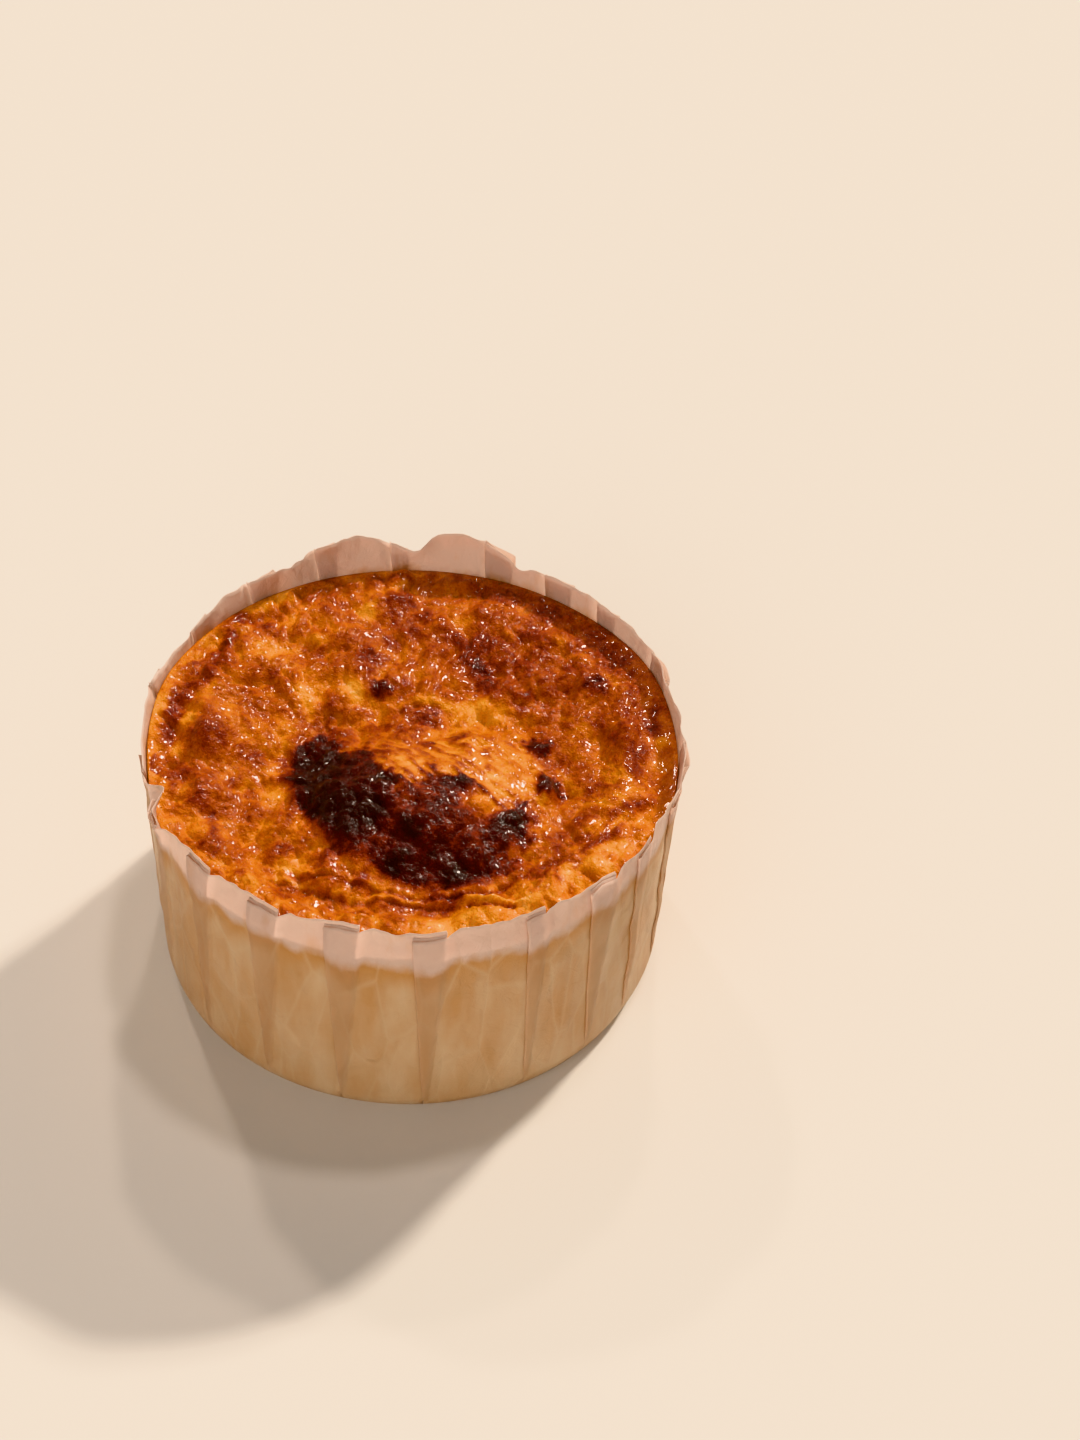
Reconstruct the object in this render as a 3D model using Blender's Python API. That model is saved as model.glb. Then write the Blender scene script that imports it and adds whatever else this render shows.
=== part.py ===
"""A small basque burnt cheesecake, 114 mm across, standing in its pleated baking paper.

The cake is one solid: a straight side, a browned top with a burnt mound in front of the middle, a sunken
ring with wrinkled skin round it, swollen lobes along the front edge and a smooth trough inside the rest
of the edge. The paper is a thin cup pressed from one round sheet, so its wall has overlapping knife pleats
that widen towards a wavy upper edge. The origin is the middle of the paper's underside, +Z up.
Lengths are in metres and angles in degrees, measured from +X towards +Y. The front is towards -Y.
"""

import math

import bmesh
import bpy
from mathutils import Vector, noise

MM = 0.001

# Driving sizes of the cake, with its underside at height 0
EDGE_LEVEL = 52.0 * MM  # height of the top where it meets the paper
CAKE_RADIUS = 57.2 * MM  # at the top edge
BASE_NARROWER = 1.6 * MM  # how much less the radius is at the foot
FOOT_ROUNDING = 4.0 * MM  # radius between the side and the underside
TOP_CELLS = 56  # grid cells across the top
CELLS_SLIDE = 0.6  # how far the grid's middle moves towards the mound's, so that its rings follow the wrinkles

# Rises and dips of the top's edge: direction, height, half width in degrees
EDGE_WAVES = ((24, 2.2 * MM, 17), (161, 1.2 * MM, 12), (95, -0.8 * MM, 30), (-80, 0.8 * MM, 40))

# Flat stretch of the side: direction, depth, half width in degrees
SIDE_FLAT = (-173, 1.5 * MM, 24)

# The burnt mound, an oval in front of the middle
MOUND_CENTRE = Vector((0.0, -16.5 * MM))
MOUND_REACH = Vector((28.0 * MM, 24.0 * MM))
MOUND_HEIGHT = 6.4 * MM
RING_DEPTH = 2.6 * MM

# Wrinkles of skin in the sunken ring: share of the mound's reach, height, first and last direction
WRINKLES = (
    (1.06, 0.9 * MM, -168, -20),
    (1.18, 1.1 * MM, -150, -4),
    (1.31, 1.3 * MM, -128, 14),
)
WRINKLE_WIDTH = 0.065  # share of the mound's reach

# Swollen lobes along the front edge: direction, distance from the middle, radius, height
LOBES = (
    (-146, 50.0 * MM, 6.0 * MM, 1.4 * MM),
    (-131, 50.5 * MM, 6.5 * MM, 1.6 * MM),
    (-117, 51.0 * MM, 7.0 * MM, 1.8 * MM),
    (-102, 50.5 * MM, 7.5 * MM, 2.0 * MM),
    (-87, 50.5 * MM, 8.0 * MM, 2.6 * MM),
    (-71, 49.0 * MM, 9.5 * MM, 3.2 * MM),
    (-55, 48.5 * MM, 8.5 * MM, 3.4 * MM),
    (-41, 49.5 * MM, 7.0 * MM, 2.4 * MM),
)

# Swellings and hollows of the browned skin: x, y, radius, height
SWELLINGS = (
    (-9.5 * MM, 27.0 * MM, 3.5 * MM, 1.1 * MM),
    (-7.5 * MM, 19.5 * MM, 2.5 * MM, 1.2 * MM),
    (14.5 * MM, 23.0 * MM, 5.0 * MM, -1.6 * MM),
    (20.0 * MM, 36.0 * MM, 5.6 * MM, 1.4 * MM),
    (-15.0 * MM, 38.0 * MM, 6.3 * MM, 1.2 * MM),
    (24.5 * MM, -0.5 * MM, 2.3 * MM, 1.8 * MM),
    (28.5 * MM, -11.0 * MM, 2.4 * MM, 2.0 * MM),
    (38.0 * MM, 20.0 * MM, 4.2 * MM, 1.2 * MM),
    (36.0 * MM, 2.0 * MM, 5.6 * MM, -1.4 * MM),
    (47.0 * MM, 4.0 * MM, 3.5 * MM, 1.4 * MM),
    (-42.0 * MM, 4.0 * MM, 5.0 * MM, 1.2 * MM),
    (-36.0 * MM, -12.0 * MM, 5.0 * MM, 0.9 * MM),
    (-27.0 * MM, 22.0 * MM, 5.6 * MM, 1.3 * MM),
    (-38.0 * MM, -30.0 * MM, 4.2 * MM, -1.0 * MM),
)

# Crags of the crust: size of the noise cells and height
CRAGS = ((9.0 * MM, 1.2 * MM), (4.4 * MM, 0.75 * MM))

# The smooth skin inside the edge, away from the front
BAND_WIDTH = 7.0 * MM
TROUGH_DEPTH = 1.4 * MM
SHOULDER_HEIGHT = 0.9 * MM  # of the crust where it starts, past the trough

# The baking paper
PAPER_THICKNESS = 0.5 * MM
PAPER_CLEARANCE = 0.3 * MM  # between the cake and the paper
PLEATS = 20
FIRST_PLEAT = -35.5  # direction of the first pleat's free fold
PLEAT_WANDER = 3.0  # degrees a pleat may stand off its even place
PLEAT_FOOT = 6.0 * MM  # height where a pleat starts to widen
PLEAT_WIDTH_AT_FOOT = 1.2 * MM
PLEAT_WIDTH_AT_RIM = 7.0 * MM
PLEAT_RELIEF = 0.8 * MM  # how far a folded pleat stands out
FOLD_TURN = 0.45  # degrees that the step at a pleat's edge takes
OUTSIDE_RINGS = (0.0, 0.1, 0.25, 0.5, 0.75, 0.9, 1.0)  # shares of the wall's height
INSIDE_RINGS = (1.0, 0.9, 0.5, 0.0)
RIM_LEAN = 0.7 * MM  # of the free edge, outward at the back and inward at the front
RIM_RIPPLE = 0.4 * MM
FREE_EDGE = (54.5 * MM, 58.5 * MM)  # heights between which the paper comes away from the cake

# The paper's upper edge: direction and height
RIM = (
    (-170, 55.6 * MM),
    (-157, 57.8 * MM),
    (-141, 60.4 * MM),
    (-117, 59.4 * MM),
    (-104, 60.8 * MM),
    (-90, 59.6 * MM),
    (-64, 59.8 * MM),
    (-50, 59.4 * MM),
    (-39, 57.8 * MM),
    (-27, 59.4 * MM),
    (-10, 58.0 * MM),
    (6, 56.6 * MM),
    (21, 59.0 * MM),
    (34, 57.6 * MM),
    (48, 58.3 * MM),
    (62, 58.0 * MM),
    (74, 59.8 * MM),
    (84, 61.2 * MM),
    (92, 57.6 * MM),
    (105, 60.8 * MM),
    (116, 58.6 * MM),
    (131, 57.2 * MM),
    (146, 56.2 * MM),
    (158, 55.2 * MM),
    (167, 56.6 * MM),
    (177, 55.2 * MM),
)


def clear_scene():
    for existing in list(bpy.data.objects):
        bpy.data.objects.remove(existing, do_unlink=True)


def ease(low, high, value):
    """Smooth step from 0 at low to 1 at high."""
    share = min(1.0, max(0.0, (value - low) / (high - low)))
    return share * share * (3.0 - 2.0 * share)


def bell(distance, half_width):
    return math.exp(-((distance / half_width) ** 2))


def angle_apart(first, second):
    """Degrees between two directions, from -180 to 180."""
    return (first - second + 180.0) % 360.0 - 180.0


def polar(direction, radius, height):
    turn = math.radians(direction)
    return Vector((radius * math.cos(turn), radius * math.sin(turn), height))


def edge_rise(direction):
    """How far the top's edge stands above its mean level."""
    return sum(height * bell(angle_apart(direction, place), width) for place, height, width in EDGE_WAVES)


def side_radius(direction, height):
    """Radius of the cake's side at a height above its underside, with the rounded foot."""
    place, depth, width = SIDE_FLAT
    radius = CAKE_RADIUS - BASE_NARROWER * max(0.0, 1.0 - height / EDGE_LEVEL)
    radius -= depth * bell(angle_apart(direction, place), width)
    if height >= FOOT_ROUNDING:
        return radius
    below = FOOT_ROUNDING - height
    return radius - FOOT_ROUNDING + math.sqrt(FOOT_ROUNDING**2 - below**2)


def mound_place(x, y):
    """Share of the mound's reach and the direction in degrees from its centre."""
    across = (x - MOUND_CENTRE.x) / MOUND_REACH.x
    along = (y - MOUND_CENTRE.y) / MOUND_REACH.y
    return math.hypot(across, along), math.degrees(math.atan2(along, across))


def wrinkle_height(reach, direction, x, y):
    total = 0.0
    for place, height, first, last in WRINKLES:
        wander = 0.05 * noise.noise(Vector((x, y, place * 0.01)) * 90.0)
        window = ease(first, first + 25.0, direction) * (1.0 - ease(last - 25.0, last, direction))
        total += height * window * bell(reach - place - wander, WRINKLE_WIDTH)
    return total


def lobe_height(x, y):
    """Height of the tallest lobe at a point, so that creases stay between neighbours."""
    tallest = 0.0
    for direction, distance, radius, height in LOBES:
        centre = polar(direction, distance, 0.0)
        away = math.hypot(x - centre.x, y - centre.y) / radius
        if away < 1.0:
            tallest = max(tallest, height * (1.0 - away**2))
    return tallest


def skin_height(x, y):
    """Swellings, hollows and crags of the browned skin."""
    total = 0.0
    for centre_x, centre_y, radius, height in SWELLINGS:
        total += height * bell(math.hypot(x - centre_x, y - centre_y), radius)
    for cell, height in CRAGS:
        total += height * noise.noise(Vector((x / cell, y / cell, cell / MM)))
    return total


def top_height(x, y):
    """Height of the cake's top at a point, above its underside."""
    direction = math.degrees(math.atan2(y, x))
    inside = side_radius(direction, EDGE_LEVEL) - math.hypot(x, y)
    reach, turn = mound_place(x, y)
    mound = MOUND_HEIGHT * (0.5 + 0.5 * math.cos(math.pi * min(1.0, reach))) ** 0.85
    ring = -RING_DEPTH * bell(reach - 1.2, 0.2)
    away_from_front = 1.0 - ease(10.0, 55.0, abs(angle_apart(direction, 90.0)) - 80.0)
    trough = -TROUGH_DEPTH * bell(inside - 0.6 * BAND_WIDTH, 0.4 * BAND_WIDTH)
    shoulder = SHOULDER_HEIGHT * bell(inside - 1.5 * BAND_WIDTH, 0.5 * BAND_WIDTH)
    at_edge = ease(0.0, 0.3 * BAND_WIDTH, inside)
    on_crust = ease(0.0, 1.2 * BAND_WIDTH, inside)
    height = EDGE_LEVEL + mound + ring + wrinkle_height(reach, turn, x, y)
    height += edge_rise(direction) * (1.0 - ease(0.0, 4.0 * BAND_WIDTH, inside))
    height += at_edge * (lobe_height(x, y) + away_from_front * (trough + shoulder))
    return height + on_crust * skin_height(x, y)


def disc_place(u, v):
    """A point of the square from -1 to 1, moved so that the square's outline becomes the cake's edge."""
    side = max(abs(u), abs(v))
    length = max(math.hypot(u, v), 1e-9)
    radius = side_radius(math.degrees(math.atan2(v, u)), EDGE_LEVEL)
    slide = MOUND_CENTRE * (CELLS_SLIDE * (1.0 - side**2))
    return Vector((u, v)) * (1.0 + (side / length - 1.0) * side) * radius + slide


def extrude_rim(mesh, edges):
    """Extrudes a closed rim of edges and returns the new vertices and edges."""
    made = bmesh.ops.extrude_edge_only(mesh, edges=edges)["geom"]
    vertices = [item for item in made if isinstance(item, bmesh.types.BMVert)]
    rim = [item for item in made if isinstance(item, bmesh.types.BMEdge)]
    return vertices, rim


def material(name, colour, roughness):
    made = bpy.data.materials.new(name)
    made.use_nodes = True
    shader = made.node_tree.nodes["Principled BSDF"]
    shader.inputs["Base Color"].default_value = (*colour, 1.0)
    shader.inputs["Roughness"].default_value = roughness
    shader.inputs["Metallic"].default_value = 0.0
    return made


def add_object(name, mesh, collection, finish):
    bmesh.ops.recalc_face_normals(mesh, faces=mesh.faces)
    data = bpy.data.meshes.new(name)
    mesh.to_mesh(data)
    mesh.free()
    data.shade_smooth()
    data.set_sharp_from_angle(angle=math.radians(40.0))
    data.materials.append(finish)
    made = bpy.data.objects.new(name, data)
    collection.objects.link(made)
    return made


def build_cake(collection):
    """The cake: a warped grid for its top, extruded down its side to the rounded foot."""
    mesh = bmesh.new()
    bmesh.ops.create_grid(mesh, x_segments=TOP_CELLS, y_segments=TOP_CELLS, size=1.0)
    for vertex in mesh.verts:
        place = disc_place(vertex.co.x, vertex.co.y)
        vertex.co = (place.x, place.y, top_height(place.x, place.y))
    rim = [edge for edge in mesh.edges if edge.is_boundary]
    middle_of_foot = FOOT_ROUNDING * (1.0 - math.cos(math.radians(45.0)))
    for level in (0.5 * EDGE_LEVEL, FOOT_ROUNDING, middle_of_foot, 0.0):
        vertices, rim = extrude_rim(mesh, rim)
        for vertex in vertices:
            direction = math.degrees(math.atan2(vertex.co.y, vertex.co.x))
            vertex.co = polar(direction, side_radius(direction, level), level)
    bmesh.ops.contextual_create(mesh, geom=rim)
    cake = add_object("cheesecake", mesh, collection, material("browned_crust", (0.56, 0.22, 0.05), 0.35))
    cake.location.z = PAPER_THICKNESS + PAPER_CLEARANCE
    return cake


def rim_height(direction):
    """Height of the paper's upper edge, eased from one named place to the next."""
    after = next((index for index, (place, _) in enumerate(RIM) if place > direction), 0)
    first_place, first_level = RIM[after - 1]
    last_place, last_level = RIM[after]
    share = (direction - first_place) % 360.0 / ((last_place - first_place) % 360.0)
    return first_level + (last_level - first_level) * ease(0.0, 1.0, share)


def pleat_start(index):
    """Direction of a pleat's free fold, a little off its even place."""
    place = index % PLEATS
    wander = PLEAT_WANDER * noise.noise(Vector((place * 0.77, 3.1, 0.0)))
    return FIRST_PLEAT + 360.0 * index / PLEATS + wander


def pleat_columns(index, level):
    """(direction, relief share) of the points round the wall from one pleat's start to the next."""
    width = PLEAT_WIDTH_AT_FOOT
    width += (PLEAT_WIDTH_AT_RIM - PLEAT_WIDTH_AT_FOOT) * ease(PLEAT_FOOT, EDGE_LEVEL, level)
    turned = math.degrees(width / CAKE_RADIUS)
    start = pleat_start(index)
    rest = pleat_start(index + 1) - start - turned
    standing = ease(0.3 * PLEAT_FOOT, 2.0 * PLEAT_FOOT, level)
    return (
        (start, 0.0),
        (start + FOLD_TURN, standing),
        (start + 0.5 * turned, 0.9 * standing),
        (start + turned - FOLD_TURN, 0.8 * standing),
        (start + turned + FOLD_TURN, 0.0),
        (start + turned + 0.35 * rest, 0.0),
        (start + turned + 0.68 * rest, 0.0),
    )


def floor_point(column, outward, level):
    """A point of the paper near its floor, where the wall has no relief yet."""
    direction, _ = column(0.0)
    radius = side_radius(direction, 0.0) + PAPER_CLEARANCE + outward
    return polar(direction, radius, level)


def wall_point(column, share, outside):
    """A point of the paper's wall at a share of the way from its foot to its wavy edge."""
    wall = EDGE_LEVEL * share + FOOT_ROUNDING * (1.0 - share)
    direction, relief = column(wall)
    turned = angle_apart(direction, 0.0)
    foot = FOOT_ROUNDING + PAPER_THICKNESS + PAPER_CLEARANCE
    level = foot + share * (rim_height(turned) - foot)
    free = ease(*FREE_EDGE, level)
    facing = polar(direction, 1.0, 0.9)
    lean = free * (RIM_LEAN * facing.y + RIM_RIPPLE * noise.noise(facing * 7.0))
    outward = PAPER_THICKNESS + relief * PLEAT_RELIEF if outside else 0.0
    radius = side_radius(turned, min(level, EDGE_LEVEL)) + PAPER_CLEARANCE + lean + outward
    return polar(direction, radius, level)


def paper_column(number):
    """The function of height that gives a column's direction and relief."""
    parts = len(pleat_columns(0, 0.0))
    return lambda level: pleat_columns(number // parts, level)[number % parts]


def paper_rings():
    """The paper's cross-section from the middle of its underside, over its upper edge, to its inner floor."""
    bend = math.radians(45.0)
    inner_foot = FOOT_ROUNDING + PAPER_CLEARANCE
    outer_foot = inner_foot + PAPER_THICKNESS
    start = FOOT_ROUNDING - inner_foot  # keeps both foot roundings under the side
    rings = [
        lambda column: floor_point(column, start, 0.0),
        lambda column: floor_point(
            column, start + outer_foot * math.sin(bend), outer_foot * (1.0 - math.cos(bend))
        ),
    ]
    for share in OUTSIDE_RINGS:
        rings.append(lambda column, share=share: wall_point(column, share, True))
    for share in INSIDE_RINGS:
        rings.append(lambda column, share=share: wall_point(column, share, False))
    rings.append(
        lambda column: floor_point(
            column,
            start + inner_foot * math.sin(bend),
            PAPER_THICKNESS + inner_foot * (1.0 - math.cos(bend)),
        )
    )
    rings.append(lambda column: floor_point(column, start, PAPER_THICKNESS))
    return rings


def build_paper(collection):
    """The cup of baking paper: a grid rolled round the cake, with its two floors filled in."""
    rings = paper_rings()
    around = PLEATS * len(pleat_columns(0, 0.0))
    mesh = bmesh.new()
    bmesh.ops.create_grid(mesh, x_segments=around, y_segments=len(rings) - 1, size=0.5)
    for vertex in mesh.verts:
        column = paper_column(round((vertex.co.x + 0.5) * around))
        ring = rings[round((vertex.co.y + 0.5) * (len(rings) - 1))]
        vertex.co = ring(column)
    bmesh.ops.remove_doubles(mesh, verts=mesh.verts, dist=0.001 * MM)
    bmesh.ops.holes_fill(mesh, edges=mesh.edges, sides=0)
    return add_object("baking_paper", mesh, collection, material("baking_paper", (0.80, 0.68, 0.56), 0.6))


def centre_on_origin(objects):
    """Moves the objects so that the middle of their outline is over the origin."""
    corners = [made.matrix_basis @ vertex.co for made in objects for vertex in made.data.vertices]
    for axis in (0, 1):
        places = [corner[axis] for corner in corners]
        middle = (min(places) + max(places)) / 2.0
        for made in objects:
            made.location[axis] -= middle


def main():
    clear_scene()
    collection = bpy.data.collections.new("burnt_cheesecake")
    bpy.context.scene.collection.children.link(collection)
    centre_on_origin((build_cake(collection), build_paper(collection)))


main()
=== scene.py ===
import math

import bmesh
import bpy
import numpy as np
from mathutils import Matrix, Vector, noise
from mathutils.bvhtree import BVHTree


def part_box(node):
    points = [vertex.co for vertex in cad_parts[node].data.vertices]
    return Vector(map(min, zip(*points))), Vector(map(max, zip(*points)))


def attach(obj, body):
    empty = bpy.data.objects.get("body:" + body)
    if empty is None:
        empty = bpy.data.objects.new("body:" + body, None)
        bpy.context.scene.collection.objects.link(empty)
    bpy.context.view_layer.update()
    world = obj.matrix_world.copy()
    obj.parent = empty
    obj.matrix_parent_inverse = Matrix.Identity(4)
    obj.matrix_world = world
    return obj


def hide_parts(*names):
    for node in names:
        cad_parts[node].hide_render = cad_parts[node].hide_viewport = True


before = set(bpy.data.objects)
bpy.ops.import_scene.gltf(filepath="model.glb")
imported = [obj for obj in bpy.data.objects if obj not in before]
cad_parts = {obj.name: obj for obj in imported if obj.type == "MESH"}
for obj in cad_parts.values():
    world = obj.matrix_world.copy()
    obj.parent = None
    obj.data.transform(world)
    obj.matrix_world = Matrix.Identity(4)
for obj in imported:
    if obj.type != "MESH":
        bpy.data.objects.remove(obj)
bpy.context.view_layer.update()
mm = 0.001

# Small helpers on numbers and on arrays of numbers


def ease(low, high, value):
    # smooth step from 0 at low to 1 at high
    share = np.clip((value - low) / (high - low), 0.0, 1.0)
    return share * share * (3.0 - 2.0 * share)


def bell(distance, halfWidth):
    return np.exp(-((distance / halfWidth) ** 2))


def apart(first, second):
    # degrees between two directions, from -180 to 180
    return (first - second + 180.0) % 360.0 - 180.0


def rough(points, cell, seed):
    # smooth noise from -1 to 1 at each (x, y) in mm
    return np.array([noise.noise(Vector((x / cell, y / cell, seed))) for x, y in points])


def clouds(points, cell, octaves, seed):
    # noise with finer noise on it, about -1 to 1
    return np.array([noise.fractal(Vector((x / cell, y / cell, seed)), 0.9, 2.1, octaves) for x, y in points])


def puffs(points, cell, octaves, seed):
    # rounded lumps with creases between them, about 0 to 1
    return np.array([noise.turbulence(Vector((x / cell, y / cell, seed)), octaves, True) for x, y in points])


def warped(points, cell, amount, seed):
    shift = np.stack([rough(points, cell, seed), rough(points, cell, seed + 7.3)], axis=1)
    return points + amount * shift


# The camera stands where the photograph was taken from

view = {
    "lens": 75.6,
    "place": Vector((0.0, -443.0 * mm, 525.0 * mm)),
    "down": 46.16,
    "roll": 3.35,
    "turn": -3.4428,
    "photo": (1080, 1440),
}


def makeCamera():
    turn, down, roll = (math.radians(view[key]) for key in ("turn", "down", "roll"))
    side = Vector((math.cos(turn), math.sin(turn), 0.0))
    ahead = Vector((-math.sin(turn) * math.cos(down), math.cos(turn) * math.cos(down), -math.sin(down)))
    above = side.cross(ahead)
    right = side * math.cos(roll) + above * math.sin(roll)
    up = above * math.cos(roll) - side * math.sin(roll)
    camera = bpy.data.objects.new("camera", bpy.data.cameras.new("camera"))
    camera.data.lens = view["lens"]
    camera.data.sensor_width = 36.0
    camera.data.clip_start = 0.01
    camera.matrix_world = Matrix.Translation(view["place"]) @ Matrix((right, up, -ahead)).transposed().to_4x4()
    bpy.context.scene.collection.objects.link(camera)
    bpy.context.scene.camera = camera
    return camera


camera = makeCamera()
print("camera is placed")

# What the frame says about the cake and the paper, as functions of direction


def around(node, lowest, reach, pick):
    # the largest height or radius of a node's vertices in each direction, in mm
    points = np.array([vertex.co[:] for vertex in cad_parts[node].data.vertices]) / mm
    radius = np.hypot(points[:, 0], points[:, 1])
    direction = np.degrees(np.arctan2(points[:, 1], points[:, 0]))
    directions = np.arange(-180.0, 180.0, 2.0)
    found = []
    for here in directions:
        near = (np.abs(apart(direction, here)) < reach) & (points[:, 2] > lowest)
        found.append((points[:, 2] if pick == "height" else radius)[near].max())
    found = np.array(found)
    found = (np.roll(found, 1) + 2.0 * found + np.roll(found, -1)) / 4.0
    return lambda where: np.interp(where, directions, found, period=360.0)


cakeRadius = around("cheesecake", 48.0, 2.0, "radius")
paperTop = around("baking_paper", 50.0, 2.2, "height")
cadTop = BVHTree.FromObject(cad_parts["cheesecake"], bpy.context.evaluated_depsgraph_get())
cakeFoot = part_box("cheesecake")[0].z / mm


def topAt(x, y):
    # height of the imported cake's top, in mm
    for share in (1.0, 0.995, 0.98):
        hit = cadTop.ray_cast(Vector((x * share * mm, y * share * mm, 0.2)), Vector((0.0, 0.0, -1.0)))[0]
        if hit is not None:
            return hit.z / mm
    return 53.0


def onCake(px, py):
    # the (x, y) in mm of the cake's top that a pixel of the photograph shows
    wide, high = view["photo"]
    scale = 36.0 / view["lens"] / high
    ray = camera.matrix_world.to_3x3() @ Vector(((px - wide / 2) * scale, (high / 2 - py) * scale, -1.0))
    level = 53.0
    for _ in range(6):
        place = view["place"] / mm + ray * ((level - view["place"].z / mm) / ray.z)
        level = topAt(place.x, place.y)
    return np.array((place.x, place.y))


# The cake's crust: what the photograph shows, by its pixels

crust = {
    "cells": 300,
    "lip": 0.15,  # how far the top clings out towards the paper, in mm
    "slide": 0.6,
    "lumps": ((8.0, 1.5, 11.0), (3.9, 0.95, 23.0), (1.9, 0.4, 29.0), (1.05, 0.18, 37.0)),  # cell and height in mm, seed
    "longer": 1.25,  # how much longer a lump is from front to back
    "narrower": 1.6,  # how much less the radius is at the foot, in mm
    "footRounding": 4.0,
    "bandWidth": 7.0,
    "lobes": (580, 868),  # px, py
    # smooth skin: px, py, radius in mm, how smooth
    "smoothPlaces": ((600, 785, 9.0, 0.8), (572, 722, 6.0, 0.5), (625, 795, 6.0, 0.7), (645, 780, 4.0, 0.6)),
    # the mound is a little fuller and its surroundings deeper: px, py, radius and height in mm
    "forms": (
        (470, 745, 10.0, 1.0), (380, 770, 9.0, 0.6), (560, 700, 8.0, -0.9), (590, 775, 7.0, -1.0),
        (430, 722, 6.0, 0.7), (505, 752, 6.0, 1.0), (450, 690, 5.0, -0.7), (548, 722, 5.0, -0.9),
        (470, 668, 9.0, -0.8), (300, 700, 8.0, -0.5), (265, 800, 9.0, -0.6), (300, 862, 8.0, -0.6),
        (400, 905, 7.0, -0.5), (540, 640, 7.0, 0.5), (640, 700, 5.0, 0.5),
    ),
    # broad darker and lighter areas: px, py, radius in mm, how much browner
    # the darker tones at the back right (525, 650) and on the right edge (668, 785) are painted shade from the paper's
    # rim
    "tones": (
        (525, 650, 15.0, 0.18), (600, 650, 12.0, 0.13), (395, 620, 8.0, 0.10), (640, 720, 9.0, 0.14),
        (205, 735, 8.0, 0.08), (265, 690, 12.0, -0.04), (330, 690, 7.0, -0.08), (250, 820, 12.0, -0.07),
        (330, 860, 8.0, 0.06), (600, 850, 9.0, 0.02), (480, 915, 8.0, 0.02), (575, 715, 9.0, 0.07), (400, 897, 8.0, -0.06),
        (600, 790, 9.0, 0.06), (158, 710, 6.0, -0.18), (500, 780, 5.0, -0.06), (400, 752, 7.0, 0.06), (410, 749, 6.5, 0.15),
        (572, 736, 8.0, 0.06), (668, 785, 5.0, 0.12), (250, 700, 9.0, 0.06), (435, 765, 4.0, 0.12),
    ),
}

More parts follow.
